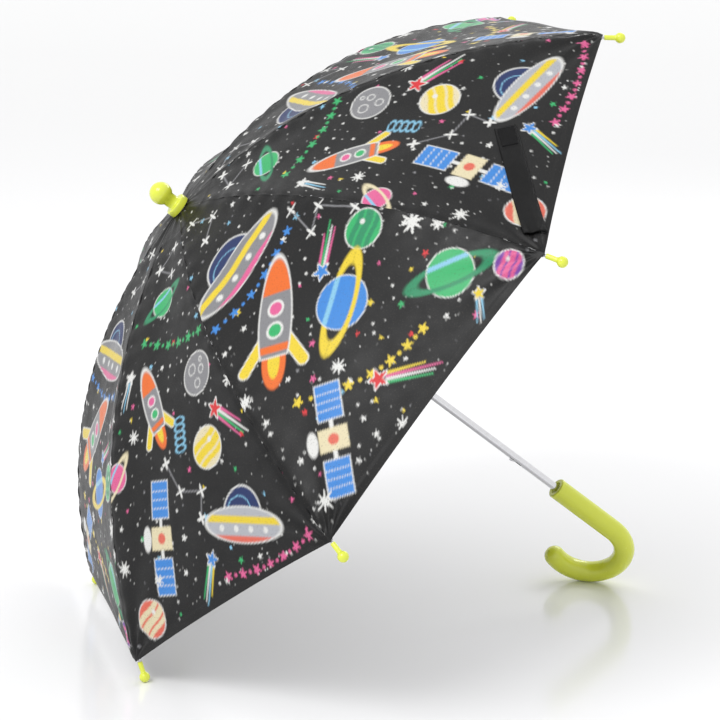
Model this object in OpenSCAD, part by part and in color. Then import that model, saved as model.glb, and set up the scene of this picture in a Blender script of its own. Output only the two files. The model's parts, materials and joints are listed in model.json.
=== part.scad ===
// Children's umbrella with a curved handle, open and lying on two rib tips and the handle's bend.
// The design frame has the shaft on Z, with Z = 0 at the circle of rib tips and the resting side
// towards -X. placed() leans it over, so the finished part has +Z up and stands on Z = 0.

/* [Canopy] */
// Radius of the circle of rib tips
tip_circle_r = 350; // [280:5:450]
// Height of the crown's rib hinges above the circle of tips
crown_z = 174; // [150:1:195]
// Radius that each rib bends to
rib_bend_r = 469; // [440:1:600]
// Thickness of the cloth
cloth_t = 0.8; // [0.6:0.1:1.2]
// Height of the cloth's top face above the rib's centre line
cloth_lift = 4; // [3.9:0.1:5]
// Distance along the rib from the tip ball to the cloth's edge
hem_back = 14; // [10:1:20]

/* [Frame] */
// Diameter of the rib wire
rib_d = 2.5; // [2:0.1:2.8]
// Straight distance from the crown hinge to the stretcher joint
inner_rib_l = 164; // [140:1:180]
// Depth of the stretcher joint's hinge below the rib's centre line
joint_drop = 2.2; // [2:0.1:3]
// Radius of the eyes at the stretcher joint
joint_eye_r = 2.6; // [2.2:0.1:2.8]
// Radius of the rivet at the stretcher joint
rivet_r = 0.9; // [0.7:0.05:1]
// Radius of the circle of hinges on the crown and the runner
hinge_circle_r = 6.5; // [6.2:0.1:7.5]
// Radius of the wire rings in the crown and the runner
ring_wire_r = 0.45; // [0.4:0.01:0.5]
// Thickness of the flat eyes that turn on the wire rings
eye_t = 1.2; // [1:0.1:1.3]
// Side clearance of an eye in its slot
slot_gap = 0.15; // [0.1:0.01:0.2]
// Width of a stretcher across its hinge axis
stretcher_w = 2.5; // [2:0.1:2.8]
// Depth of a stretcher in its own plane
stretcher_h = 2.8; // [2.4:0.1:3.2]

/* [Shaft and runner] */
// Outer diameter of the shaft tube
shaft_d = 7; // [6:0.1:7.4]
// Wall of the shaft tube
shaft_wall = 0.6; // [0.5:0.05:0.9]
// Length of shaft from the circle of tips down to the handle
shaft_below = 257.4; // [250:1:320]
// Radius of the crown and of the runner's head
hub_r = 9; // [8.6:0.1:9.6]
// Height of the crown and of the runner's head
hub_h = 5.5; // [5:0.1:6]
// Length of the runner's sleeve below its head
sleeve_l = 58; // [50:1:62]
// Outer radius of the runner's sleeve
sleeve_r = 5.6; // [5.3:0.1:5.9]
// Radial clearance of the runner on the shaft
runner_gap = 0.1; // [0.05:0.01:0.1]
// Thickness of the spring catches
catch_t = 1.2; // [1:0.1:1.6]
// Length of a spring catch
catch_l = 18; // [15:1:22]
// How far a catch stands out of the shaft
catch_out = 1.7; // [1.4:0.1:1.9]
// Height of the bottom catch's top edge, above the circle of tips
bottom_catch_z = -203; // [-208:1:-200]
// Direction that the catches face, from +X
catch_side = 202.5; // [202.5:45:247.5]

/* [Handle] */
// Diameter of the handle
handle_d = 19.3; // [17:0.1:24]
// Length of the handle's straight grip
grip_l = 72; // [60:1:90]
// Centre-line radius of the handle's bend
bend_r = 34.5; // [28:0.5:42]
// Angle that the bend turns through
bend_angle = 192; // [150:1:200]
// Length of the straight stretch after the bend
hook_end_l = 3; // [2:0.5:6]
// Direction that the hook turns to, from +X
hook_side = 140; // [130:1:180]
// Depth of shaft held in the handle
handle_socket = 40; // [25:1:50]
// Radius of the recess at the handle's mouth
mouth_r = 5.6; // [4.5:0.1:7]
// Depth of the recess at the handle's mouth
mouth_depth = 2.5; // [1:0.5:5]

/* [Finial and tips] */
// Diameter of the ball on top
finial_ball_d = 19.3; // [16:0.1:24]
// Height of the ball's centre above the crown's hinges
finial_ball_up = 24.2; // [22:0.1:30]
// Diameter of the collar that clamps the cloth
collar_d = 20.5; // [20:0.1:26]
// Height of the collar
collar_h = 6.2; // [5:0.1:7]
// Radius of the finial's neck
finial_neck_r = 6; // [5:0.1:7]
// Diameter of the ball on a rib tip
tip_ball_d = 8.7; // [7.5:0.1:11]
// Diameter of a rib tip's neck
tip_neck_d = 4.1; // [3.6:0.1:4.6]
// Length of a rib tip from the ball's centre
tip_l = 13; // [10:0.5:16]

/* [Tie strap] */
// Width of the tie strap
strap_w = 20; // [15:1:25]
// Length of the tie strap
strap_l = 128; // [100:1:135]
// Distance of the strap's middle from the hem's edge
strap_up = 34; // [33:1:36]
// Distance of the strap's middle to the side of the gore's middle
strap_aside = -54; // [-60:1:-40]
// Turn of the strap from the hem's direction
strap_turn = 22; // [15:1:24]
// Thickness of the tie strap
strap_t = 1.2; // [0.8:0.1:1.6]
// Gap between the tie strap and the cloth under it
strap_gap = 0.5; // [0.4:0.1:1]

/* [Hidden] */
rib_count = 8;
sector = 360 / rib_count;
half_sector = sector / 2;
numbers = [for (i = [1:rib_count]) i];
strap_gore = 7;
fixed_nodes = [
    "shaft", "handle", "finial", "crown", "crown_wire", "crown_pin",
    "rosette", "runner", "runner_wire", "top_catch", "bottom_catch", "tie_strap",
];
rib_kinds = ["rib_inner", "rib_outer", "rib_tip", "stretcher", "canopy_gore", "canopy_hem"];
$fn = 64;

// Rib arc: it passes through the crown hinge and the centre of the tip ball.
shaft_r = shaft_d / 2;
rib_r = rib_d / 2;
crown_hinge = [hinge_circle_r, crown_z];
tip_point = [tip_circle_r, 0];
rib_chord = tip_point - crown_hinge;
rib_half_chord = norm(rib_chord) / 2;
arc_centre = (crown_hinge + tip_point) / 2
    + [rib_chord.y, -rib_chord.x] / (2 * rib_half_chord)
    * sqrt(pow(rib_bend_r, 2) - pow(rib_half_chord, 2));
function arc_angle(p) = atan2(p.x - arc_centre.x, p.y - arc_centre.y);
function arc_point(r, a) = arc_centre + r * [sin(a), cos(a)];
function arc_step(length) = length / rib_bend_r * 180 / PI;
crown_angle = arc_angle(crown_hinge);
tip_angle = arc_angle(tip_point);
joint_angle = crown_angle + 2 * asin(inner_rib_l / (2 * rib_bend_r));
joint = arc_point(rib_bend_r - joint_drop, joint_angle);

// Stretcher: as long as the crown hinge is from the joint, so the runner travels straight.
runner_z = 2 * joint.y - crown_z;
runner_hinge = [hinge_circle_r, runner_z];
stretcher_l = norm(joint - runner_hinge);
stretcher_rise = atan2(joint.y - runner_z, joint.x - hinge_circle_r);

// Joint layers across the hinge axis, from the middle outwards.
layer_gap = 0.1;
inner_half = 0.8;
plate_t = 0.8;
outer_in = inner_half + layer_gap;
outer_out = outer_in + plate_t;
fork_in = outer_out + layer_gap;
fork_t = 1;
fork_out = fork_in + fork_t;
rivet_head_r = rivet_r + 0.7;
rivet_head_h = 0.6;
rivet_gap = 0.05;
joint_clear = joint_eye_r + 0.6;
fork_l = 8;
fork_root_l = 3;
link_lap = 1;
wire_lap = 1.5;
ring_gap = 0.1;
ring_bore_r = ring_wire_r + ring_gap;
hub_eye_r = 1.7;
link_r = 1.2;
crown_above = 1.5;
crown_low = hub_h - crown_above;
hub_clear = norm([hub_r - hinge_circle_r, crown_low]) + 0.5;

// Cloth: one outline in the gore's middle plane, cut to a wedge between two ribs.
cloth_r = rib_bend_r + cloth_lift;
cloth_hole_gap = 0.8;
cloth_hole_r = shaft_r + cloth_hole_gap;
cloth_start = asin((cloth_hole_r - arc_centre.x) / cloth_r);
cloth_end = tip_angle - arc_step(hem_back);
seam_gap = 0.4;
cloth_fold = joint_angle;
gore_steps = 4;
hem_steps = 4;
cloth_top_z = arc_point(cloth_r, cloth_start).y;

// Crown pin, through the crown and the shaft under the ribs' eyes
crown_pin_r = 0.6;
crown_pin_z = crown_z - crown_low + 1.3;

// Finial, clamping the cloth against the crown
finial_base_z = cloth_top_z + 0.3;
finial_ball_z = crown_z + finial_ball_up;
finial_ball_r = finial_ball_d / 2;
finial_socket = finial_ball_up - 6;

// Catches: each sits in a window of the shaft. A closed umbrella's stretcher joints stand
// closed_gap outside the circle of hinges.
catch_gap = 0.2;
catch_rim_gap = 0.4;
catch_foot = 5;
closed_gap = 8.7;
sleeve_bottom_z = runner_z - hub_h / 2 - sleeve_l;
top_catch_z = sleeve_bottom_z - catch_rim_gap;
closed_angle = acos(closed_gap / stretcher_l);
runner_travel = 2 * stretcher_l * sin(closed_angle) - (crown_z - runner_z);
catch_slot_z = bottom_catch_z + runner_travel;

// Handle hook, in its own plane: [out from the shaft, height].
handle_r = handle_d / 2;
grip_bottom_z = -shaft_below - grip_l;
bend_centre = [bend_r, grip_bottom_z];
bend_end = bend_centre - bend_r * [cos(bend_angle), sin(bend_angle)];

// Lean: the floor touches two tip balls and the handle's bend. up_angle is the angle
// between the floor's upward direction and the design frame's X axis.
tip_ball_r = tip_ball_d / 2;
rest_x = -tip_circle_r * cos(half_sector);
function up_in_hook(b) = [cos(b) * cos(hook_side), sin(b)];
function hook_low(b) = up_in_hook(b) * bend_centre - bend_r * norm(up_in_hook(b)) - handle_r;
function tips_low(b) = rest_x * cos(b) - tip_ball_r;
function meeting_angle(lo, hi, steps) =
    let (mid = (lo + hi) / 2)
    steps == 0 ? mid
    : hook_low(mid) > tips_low(mid) ? meeting_angle(mid, hi, steps - 1)
    : meeting_angle(lo, mid, steps - 1);
up_angle = meeting_angle(20, 70, 40);
low_dir = -up_in_hook(up_angle) / norm(up_in_hook(up_angle));
low_centre = bend_centre + bend_r * low_dir;
floor_point = [
    low_centre.x * cos(hook_side) - handle_r * cos(up_angle),
    low_centre.x * sin(hook_side),
    low_centre.y - handle_r * sin(up_angle)
];
lean = 90 - up_angle;

module placed() rotate([0, -lean, 0]) translate(-floor_point) children();

// Turns a shape drawn with [out, height] in X and Y into the upright plane of direction a.
module upright(a) rotate([0, 0, a]) rotate([90, 0, 0]) children();
function rib_dir(i) = half_sector + (i - 1) * sector;
function gore_dir(i) = i * sector;

// A stretch of rib wire between two angles of the rib's arc.
module wire_arc(from, to) {
    translate(arc_centre)
        rotate([0, 0, 90 - to])
            rotate_extrude(angle = to - from, $fn = 180)
                translate([rib_bend_r, 0])
                    circle(rib_r, $fn = 24);
}

// A plate of thickness t across the plane, from one point to another, with a round end.
module link_plate(from, to, r, t) {
    d = to - from;
    translate([from.x, from.y, -t / 2])
        rotate([0, 0, atan2(d.y, d.x)]) {
            cylinder(r = r, h = t);
            translate([0, -r, 0])
                cube([norm(d), 2 * r, t]);
        }
}

// A block between two distances from a point, along a direction in the plane.
module link_block(at, dir, from, to, h, w) {
    translate(at)
        rotate([0, 0, dir])
            translate([from, -h / 2, -w / 2])
                cube([to - from, h, w]);
}

module cross_hole(at, r) {
    translate([at.x, at.y, -10])
        cylinder(r = r, h = 20);
}

module shaft() color("lightgray") placed() {
    difference() {
        translate([0, 0, -shaft_below - handle_socket])
            cylinder(r = shaft_r, h = shaft_below + handle_socket + crown_z + finial_socket);
        translate([0, 0, -shaft_below - handle_socket - 1])
            cylinder(r = shaft_r - shaft_wall, h = 2 * shaft_below + crown_z);
        catch_window(top_catch_z);
        catch_window(bottom_catch_z);
        crown_pin_hole();
    }
}

module catch_window(top_z) {
    rotate([0, 0, catch_side])
        translate([0, -catch_t / 2 - catch_gap, top_z - catch_l + catch_foot])
            cube([shaft_d, catch_t + 2 * catch_gap, catch_l - catch_foot + catch_gap]);
}

// A leaf inside the shaft with a nose that stands out of the window.
module catch_leaf(top_z) {
    leaf_in = 0.3;
    leaf_out = shaft_r - shaft_wall - 0.4;
    nose_l = 9;
    nose_flat = 2;
    upright(catch_side)
        translate([0, 0, -catch_t / 2])
            linear_extrude(catch_t)
                polygon([
                    [leaf_in, top_z - catch_l],
                    [leaf_out, top_z - catch_l],
                    [leaf_out, top_z - nose_l],
                    [shaft_r + catch_out, top_z - nose_flat],
                    [shaft_r + catch_out, top_z],
                    [leaf_in, top_z],
                ]);
}

module top_catch() color("gray") placed() catch_leaf(top_catch_z);
module bottom_catch() color("gray") placed() catch_leaf(bottom_catch_z);

// Handle: a straight grip, a bend and a round end.
module handle() color("#E2EA49") placed() {
    edge = 1.5;
    difference() {
        union() {
            translate([0, 0, grip_bottom_z])
                cylinder(r = handle_r, h = grip_l - edge);
            translate([0, 0, -shaft_below - edge])
                rotate_extrude()
                    polygon([
                        [0, -1],
                        [handle_r, -1],
                        for (a = [0:15:90])
                            [handle_r - edge + edge * cos(a), edge * sin(a)],
                        [0, edge],
                    ]);
            upright(hook_side) {
                translate(bend_centre)
                    rotate([0, 0, 180])
                        rotate_extrude(angle = bend_angle, $fn = 96)
                            translate([bend_r, 0])
                                circle(handle_r, $fn = 32);
                translate(bend_end)
                    rotate([0, 0, bend_angle - 180])
                        rotate([-90, 0, 0])
                            cylinder(r = handle_r, h = hook_end_l);
                translate(bend_end + hook_end_l * [-sin(bend_angle - 180), cos(bend_angle - 180)])
                    sphere(handle_r);
            }
        }
        translate([0, 0, -shaft_below - handle_socket])
            cylinder(r = shaft_r, h = handle_socket + 1);
        translate([0, 0, -shaft_below - mouth_depth])
            cylinder(r = mouth_r, h = mouth_depth + 1);
    }
}

module finial() color("#E2EA49") placed() {
    collar_r = collar_d / 2;
    edge = 1.2;
    neck_top = finial_ball_z - sqrt(pow(finial_ball_r, 2) - pow(finial_neck_r, 2));
    difference() {
        union() {
            translate([0, 0, finial_base_z])
                rotate_extrude()
                    polygon([
                        [0, 0], [collar_r, 0], [collar_r, collar_h - edge],
                        for (a = [0:15:90])
                            [collar_r - edge + edge * cos(a), collar_h - edge + edge * sin(a)],
                        [0, collar_h]
                    ]);
            translate([0, 0, finial_base_z + 1])
                cylinder(r = finial_neck_r, h = neck_top - finial_base_z);
            translate([0, 0, finial_ball_z])
                sphere(finial_ball_r);
        }
        translate([0, 0, finial_base_z - 1])
            cylinder(r = shaft_r, h = crown_z + finial_socket - finial_base_z + 1);
    }
}

// Crown and runner heads: a hub with a slot for each eye and a groove for the wire ring.
module hub(z, low, high) {
    translate([0, 0, z - low])
        difference() {
            cylinder(r = hub_r, h = low + high);
            for (i = numbers)
                rotate([0, 0, rib_dir(i)])
                    translate([hinge_circle_r - hub_eye_r - 0.3, -eye_t / 2 - slot_gap, -1])
                        cube([hub_r, eye_t + 2 * slot_gap, low + high + 2]);
        }
}

module ring_groove(z) {
    translate([0, 0, z])
        rotate_extrude()
            translate([hinge_circle_r, 0])
                circle(ring_wire_r, $fn = 24);
}

module crown_pin_hole() {
    translate([-hub_r - 1, 0, crown_pin_z])
        rotate([0, 90, 0])
            cylinder(r = crown_pin_r, h = 2 * hub_r + 2, $fn = 24);
}

module crown() color("dimgray") placed() {
    difference() {
        hub(crown_z, crown_low, crown_above);
        translate([0, 0, crown_z - 20])
            cylinder(r = shaft_r, h = 40);
        ring_groove(crown_z);
        crown_pin_hole();
    }
}

module crown_wire() color("silver") placed() ring_groove(crown_z);

module crown_pin() color("silver") placed() {
    translate([-hub_r, 0, crown_pin_z])
        rotate([0, 90, 0])
            cylinder(r = crown_pin_r, h = 2 * hub_r, $fn = 24);
}

module rosette() color("#17181A") placed() {
    rosette_t = 0.3;
    translate([0, 0, crown_z + crown_above])
        difference() {
            cylinder(r = hub_r, h = rosette_t);
            translate([0, 0, -1])
                cylinder(r = shaft_r, h = rosette_t + 2);
        }
}

module runner() color("dimgray") placed() {
    window_h = 7;
    window_above = 1;
    difference() {
        union() {
            hub(runner_z, hub_h / 2, hub_h / 2);
            translate([0, 0, sleeve_bottom_z])
                cylinder(r = sleeve_r, h = sleeve_l);
        }
        translate([0, 0, sleeve_bottom_z - 1])
            cylinder(r = shaft_r + runner_gap, h = sleeve_l + hub_h + 2);
        rotate([0, 0, catch_side])
            translate([0, -catch_t, catch_slot_z - window_h + window_above])
                cube([2 * hub_r, 2 * catch_t, window_h]);
        ring_groove(runner_z);
    }
}

module runner_wire() color("silver") placed() ring_groove(runner_z);

// Inner half of a rib, from its eye on the crown's ring to the stretcher joint.
module rib_inner(i) color("silver") placed() upright(rib_dir(i)) {
    start = crown_angle + arc_step(hub_clear);
    end = joint_angle - arc_step(fork_l);
    difference() {
        union() {
            wire_arc(start, end);
            link_plate(crown_hinge, arc_point(rib_bend_r, start + arc_step(wire_lap)), link_r, eye_t);
            link_plate(joint, arc_point(rib_bend_r, end - arc_step(wire_lap)), rib_r, 2 * inner_half);
            translate([joint.x, joint.y, -inner_half])
                cylinder(r = joint_eye_r, h = 2 * inner_half);
        }
        cross_hole(crown_hinge, ring_bore_r);
        cross_hole(joint, rivet_r + rivet_gap);
    }
}

// Outer half of a rib, forked round the inner half at the stretcher joint.
module rib_outer(i) color("silver") placed() upright(rib_dir(i)) {
    start = joint_angle + arc_step(fork_l);
    end = tip_angle - arc_step(tip_ball_r);
    root = arc_point(rib_bend_r, start + arc_step(wire_lap));
    toward = atan2(root.y - joint.y, root.x - joint.x);
    difference() {
        union() {
            wire_arc(start, end);
            for (side = [-1, 1])
                translate([0, 0, side * (outer_in + outer_out) / 2])
                    link_plate(joint, root, joint_eye_r, plate_t);
            link_block(joint, toward, joint_clear, norm(root - joint), 2 * rib_r, 2 * outer_out);
        }
        cross_hole(joint, rivet_r + rivet_gap);
    }
}

// A moulded cap with a ball, pushed on the end of the rib.
module rib_tip(i) color("#E2EA49") placed() upright(rib_dir(i)) {
    difference() {
        translate(tip_point)
            rotate([0, 0, 90 - tip_angle]) {
                sphere(tip_ball_r);
                rotate([-90, 0, 0])
                    cylinder(d = tip_neck_d, h = tip_l);
            }
        wire_arc(tip_angle - arc_step(tip_l + 2), tip_angle - arc_step(tip_ball_r));
    }
}

// A flat bar with an eye on the runner's ring and a riveted fork on the rib.
module stretcher(i) color("silver") placed() upright(rib_dir(i)) {
    bar_start = hub_clear;
    bar_end = stretcher_l - fork_l;
    along = [cos(stretcher_rise), sin(stretcher_rise)];
    difference() {
        union() {
            link_block(runner_hinge, stretcher_rise, bar_start, bar_end, stretcher_h, stretcher_w);
            link_plate(runner_hinge, runner_hinge + (bar_start + link_lap) * along, link_r, eye_t);
            link_block(runner_hinge, stretcher_rise, bar_end - fork_root_l, bar_end,
                       stretcher_h, 2 * fork_out);
            for (side = [-1, 1])
                translate([0, 0, side * (fork_in + fork_out) / 2])
                    link_plate(joint, joint - (fork_l + link_lap) * along,
                               stretcher_h / 2, fork_out - fork_in);
            translate([joint.x, joint.y, -fork_out - rivet_head_h])
                cylinder(r = rivet_head_r, h = rivet_head_h);
            translate([joint.x, joint.y, fork_out])
                cylinder(r = rivet_head_r, h = rivet_head_h);
            translate([joint.x, joint.y, -fork_out - rivet_head_h])
                cylinder(r = rivet_r, h = 2 * (fork_out + rivet_head_h));
        }
        cross_hole(runner_hinge, ring_bore_r);
    }
}

// Cloth between two ribs: an outline of straight steps, cut to the wedge between the seams.
module cloth_panel(i, from, to, steps) {
    outer = [for (k = [0:steps]) arc_point(cloth_r, from + (to - from) * k / steps)];
    inner = [for (k = [steps:-1:0]) arc_point(cloth_r - cloth_t, from + (to - from) * k / steps)];
    squeeze = cos(half_sector);
    reach = 2 * tip_circle_r;
    intersection() {
        upright(gore_dir(i))
            translate([0, 0, -tip_circle_r])
                linear_extrude(2 * tip_circle_r)
                    polygon([for (p = concat(outer, inner)) [p.x * squeeze, p.y]]);
        rotate([0, 0, gore_dir(i)])
            translate([0, 0, -tip_circle_r])
                linear_extrude(2 * tip_circle_r)
                    polygon([
                        [seam_gap / sin(half_sector), 0],
                        [reach, (reach - seam_gap / sin(half_sector)) * tan(half_sector)],
                        [reach, -(reach - seam_gap / sin(half_sector)) * tan(half_sector)],
                    ]);
    }
}

module canopy_gore(i) color("#17181A") placed()
    cloth_panel(i, cloth_start, cloth_fold - arc_step(seam_gap / 2), gore_steps);
module canopy_hem(i) color("#202124") placed()
    cloth_panel(i, cloth_fold + arc_step(seam_gap / 2), cloth_end, hem_steps);

// A flat strap that lies on the last flat step of one gore's hem, clear of the cloth.
module tie_strap() color("#101113") placed() {
    step = (cloth_end - cloth_fold) / hem_steps;
    high = arc_point(cloth_r, cloth_end - step);
    low = arc_point(cloth_r, cloth_end);
    squeeze = cos(half_sector);
    slope = atan2(high.y - low.y, (low.x - high.x) * squeeze);
    rotate([0, 0, gore_dir(strap_gore)])
        translate([low.x * squeeze, 0, low.y])
            rotate([0, slope, 0])
                translate([-strap_up, strap_aside, strap_gap])
                    rotate([0, 0, strap_turn])
                        translate([-strap_w / 2, -strap_l / 2, 0])
                            cube([strap_w, strap_l, strap_t]);
}

shaft();
handle();
finial();
crown();
crown_wire();
crown_pin();
rosette();
runner();
runner_wire();
top_catch();
bottom_catch();
tie_strap();
for (i = numbers) {
    rib_inner(i);
    rib_outer(i);
    rib_tip(i);
    stretcher(i);
    canopy_gore(i);
    canopy_hem(i);
}
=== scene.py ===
import json
import math
import bmesh
import bpy
import numpy as np
from mathutils import Matrix, Vector


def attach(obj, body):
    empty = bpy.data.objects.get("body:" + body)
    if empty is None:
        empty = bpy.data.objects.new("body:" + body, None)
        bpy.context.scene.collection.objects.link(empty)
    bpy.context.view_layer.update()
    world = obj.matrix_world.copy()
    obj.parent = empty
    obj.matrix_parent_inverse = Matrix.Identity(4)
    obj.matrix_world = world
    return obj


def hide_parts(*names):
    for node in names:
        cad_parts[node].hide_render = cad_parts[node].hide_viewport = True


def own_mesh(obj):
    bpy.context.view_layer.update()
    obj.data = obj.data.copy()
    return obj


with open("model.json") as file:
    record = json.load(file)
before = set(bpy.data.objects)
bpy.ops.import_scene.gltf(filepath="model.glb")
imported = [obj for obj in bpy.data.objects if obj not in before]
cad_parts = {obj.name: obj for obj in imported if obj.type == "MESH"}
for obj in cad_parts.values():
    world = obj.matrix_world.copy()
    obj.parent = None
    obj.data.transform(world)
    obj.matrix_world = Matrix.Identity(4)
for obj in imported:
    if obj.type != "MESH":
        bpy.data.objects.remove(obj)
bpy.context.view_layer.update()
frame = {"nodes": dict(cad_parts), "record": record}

record = frame["record"]
joints = {j["name"]: j for j in record["behaviour"]["joints"]}
mounts = {m["name"]: m for m in record["mounts"]}

# sizes of the whole umbrella, in metres and degrees
umbrella = {
    "ribs": 8,
    "tipCircle": 0.350,
    "crownHeight": 0.174,
    "ribBend": 0.469,
    "clothLift": 0.0034,
    "hemBack": 0.014,
    "clothHole": 0.0096,
    "handleTop": -0.2574,
}


# the umbrella's own frame: shaft along its third axis, zero at the circle of tips
def jointPlace(name):
    return np.array(joints[name]["pos_m"], float)


ribNumbers = range(1, umbrella["ribs"] + 1)
shaftAxis = np.array(mounts["handle_grip"]["axis"], float)
shaftAxis /= np.linalg.norm(shaftAxis)
crownCentre = np.mean([jointPlace(f"rib_{i}_fold") for i in ribNumbers], axis=0)
tipsCentre = crownCentre - umbrella["crownHeight"] * shaftAxis
lastGore = jointPlace("gore_8_fold") - crownCentre
firstAxis = lastGore - shaftAxis * (lastGore @ shaftAxis)
firstAxis /= np.linalg.norm(firstAxis)
secondAxis = np.cross(shaftAxis, firstAxis)
ownAxes = np.stack([firstAxis, secondAxis, shaftAxis])
sector = 2 * math.pi / umbrella["ribs"]


def toRow(points):
    # own x, y, z times the three axes, plus the centre of the tips' circle
    return np.asarray(points, float) @ ownAxes + tipsCentre


def turned(points, angle):
    # turns points about the shaft by an angle in radians
    c, s = math.cos(angle), math.sin(angle)
    x, y, z = np.moveaxis(np.asarray(points, float), -1, 0)
    return np.stack([x * c - y * s, x * s + y * c, z], -1)


def ribAngle(i):
    return (i - 0.5) * sector


def goreAngle(i):
    return i * sector


def arcThrough(crown, tip, bend):
    # centre of the circle of radius bend through both points, on the shaft's side
    middle, chord = (crown + tip) / 2, tip - crown
    half = np.linalg.norm(chord) / 2
    down = np.array([chord[1], -chord[0]]) / (2 * half)
    return middle + down * math.sqrt(bend ** 2 - half ** 2)


hingeCircle = float(np.linalg.norm(jointPlace("rib_1_fold") - crownCentre))
crownHinge = np.array([hingeCircle, umbrella["crownHeight"]])
tipPoint = np.array([umbrella["tipCircle"], 0.0])
arcCentre = arcThrough(crownHinge, tipPoint, umbrella["ribBend"])
clothBend = umbrella["ribBend"] + umbrella["clothLift"]
apexAngle = math.asin(-arcCentre[0] / clothBend)
clothStart = math.asin((umbrella["clothHole"] - arcCentre[0]) / clothBend)
tipAngle = math.atan2(tipPoint[0] - arcCentre[0], tipPoint[1] - arcCentre[1])
clothEnd = tipAngle - umbrella["hemBack"] / umbrella["ribBend"]
foldPlace = jointPlace("hem_1_bend") - tipsCentre
foldOut = np.linalg.norm(foldPlace - shaftAxis * (foldPlace @ shaftAxis)) / math.cos(sector / 2)
foldAngle = math.atan2(foldOut - arcCentre[0], foldPlace @ shaftAxis - arcCentre[1])
print("frame read, cloth runs", round(clothBend * (clothEnd - clothStart), 3), "m")


# mesh helpers
def meshPiece(name, points, faces, smooth=True):
    # points is an array of places, faces a list of rows of point numbers
    mesh = bpy.data.meshes.new(name)
    mesh.from_pydata(points.reshape(-1, 3).tolist(), [], faces)
    mesh.polygons.foreach_set("use_smooth", np.full(len(faces), smooth))
    mesh.update()
    piece = bpy.data.objects.new(name, mesh)
    bpy.context.scene.collection.objects.link(piece)
    return piece


def gridFaces(rows, columns, closedColumns=False):
    # quads between neighbours on a grid of rows by columns
    number = np.arange(rows * columns).reshape(rows, columns)
    if closedColumns:
        number = np.concatenate([number, number[:, :1]], axis=1)
    corners = [number[:-1, :-1], number[:-1, 1:], number[1:, 1:], number[1:, :-1]]
    return np.stack(corners, -1).reshape(-1, 4)


def putUv(piece, flatPlaces):
    # one flat place for each point, copied to every face corner that uses it
    loops = np.empty(len(piece.data.loops), int)
    piece.data.loops.foreach_get("vertex_index", loops)
    layer = piece.data.uv_layers.new(name="flat")
    layer.data.foreach_set("uv", flatPlaces.reshape(-1, 2)[loops].ravel())


def putColour(piece, name, colours):
    # one colour for each point, made opaque
    layer = piece.data.color_attributes.new(name, "FLOAT_COLOR", "POINT")
    full = np.concatenate([colours.reshape(-1, 3), np.ones((colours.size // 3, 1))], 1)
    layer.data.foreach_set("color", full.ravel())


def sweptTube(path, headings, across, profile, turns):
    # a round profile of (distance, radius) along a path whose heading stays in one plane:
    # point = path(distance) + radius * (cos * across + sin * heading x across)
    angle = np.arange(turns) * 2 * math.pi / turns
    side = np.cross(headings, across)
    ring = np.cos(angle)[None, :, None] * across + np.sin(angle)[None, :, None] * side[:, None]
    points = path[:, None] + profile[:, 1][:, None, None] * ring
    faces = gridFaces(len(profile), turns, closedColumns=True)
    return points, faces


def quarterArc(centreX, centreR, radius, start, end, steps):
    # points on a circle in the (distance, radius) plane, angles in degrees
    a = np.radians(np.linspace(start, end, steps))
    return np.stack([centreX + radius * np.cos(a), centreR + radius * np.sin(a)], -1)


def finishRound(piece):
    # closes poles, points the faces outwards and shades smooth
    work = bmesh.new()
    work.from_mesh(piece.data)
    bmesh.ops.remove_doubles(work, verts=work.verts, dist=1e-6)
    bmesh.ops.holes_fill(work, edges=[e for e in work.edges if e.is_boundary], sides=0)
    bmesh.ops.recalc_face_normals(work, faces=work.faces)
    work.to_mesh(piece.data)
    work.free()
    piece.data.polygons.foreach_set("use_smooth", np.full(len(piece.data.polygons), True))
    piece.data.update()


# material helpers
def newMaterial(name):
    material = bpy.data.materials.new(name)
    material.use_nodes = True
    return material, material.node_tree.nodes, material.node_tree.links


def addNode(nodes, kind, **values):
    node = nodes.new(kind)
    for key, value in values.items():
        if key in node.inputs:
            node.inputs[key].default_value = value
        else:
            setattr(node, key, value)
    return node


def noiseOn(nodes, links, place, scale, detail=2.0):
    noise = addNode(nodes, "ShaderNodeTexNoise", Scale=scale, Detail=detail)
    links.new(place, noise.inputs["Vector"])
    return noise.outputs["Fac"]


def stepRange(nodes, links, value, low, high, toLow, toHigh):
    ramp = addNode(nodes, "ShaderNodeMapRange")
    for key, number in zip(("From Min", "From Max", "To Min", "To Max"), (low, high, toLow, toHigh)):
        ramp.inputs[key].default_value = number
    links.new(value, ramp.inputs["Value"])
    return ramp.outputs["Result"]


def colourMix(nodes, links, factor, first, second):
    # the colour sockets of a Mix node are its last two inputs named A and B
    mix = addNode(nodes, "ShaderNodeMix", data_type="RGBA")
    colourA = [s for s in mix.inputs if s.name == "A" and s.type == "RGBA"][0]
    colourB = [s for s in mix.inputs if s.name == "B" and s.type == "RGBA"][0]
    result = [s for s in mix.outputs if s.type == "RGBA"][0]
    for socket, value in ((mix.inputs[0], factor), (colourA, first), (colourB, second)):
        if isinstance(value, bpy.types.NodeSocket):
            links.new(value, socket)
        else:
            socket.default_value = value
    return result


def bumpFrom(nodes, links, height, distance, strength=1.0):
    bump = addNode(nodes, "ShaderNodeBump", Strength=strength, Distance=distance)
    links.new(height, bump.inputs["Height"])
    return bump.outputs["Normal"]


def weaveHeight(nodes, links, place, threadGap):
    # warp and weft threads: the higher of two bands of waves, one along each direction
    bandScale = math.pi / 10 / threadGap
    heights = []
    for direction in ("X", "Y"):
        wave = addNode(nodes, "ShaderNodeTexWave", bands_direction=direction, Scale=bandScale)
        links.new(place, wave.inputs["Vector"])
        heights.append(wave.outputs["Fac"])
    higher = addNode(nodes, "ShaderNodeMath", operation="MAXIMUM")
    for socket, height in zip(higher.inputs, heights):
        links.new(height, socket)
    return higher.outputs[0]


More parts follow.
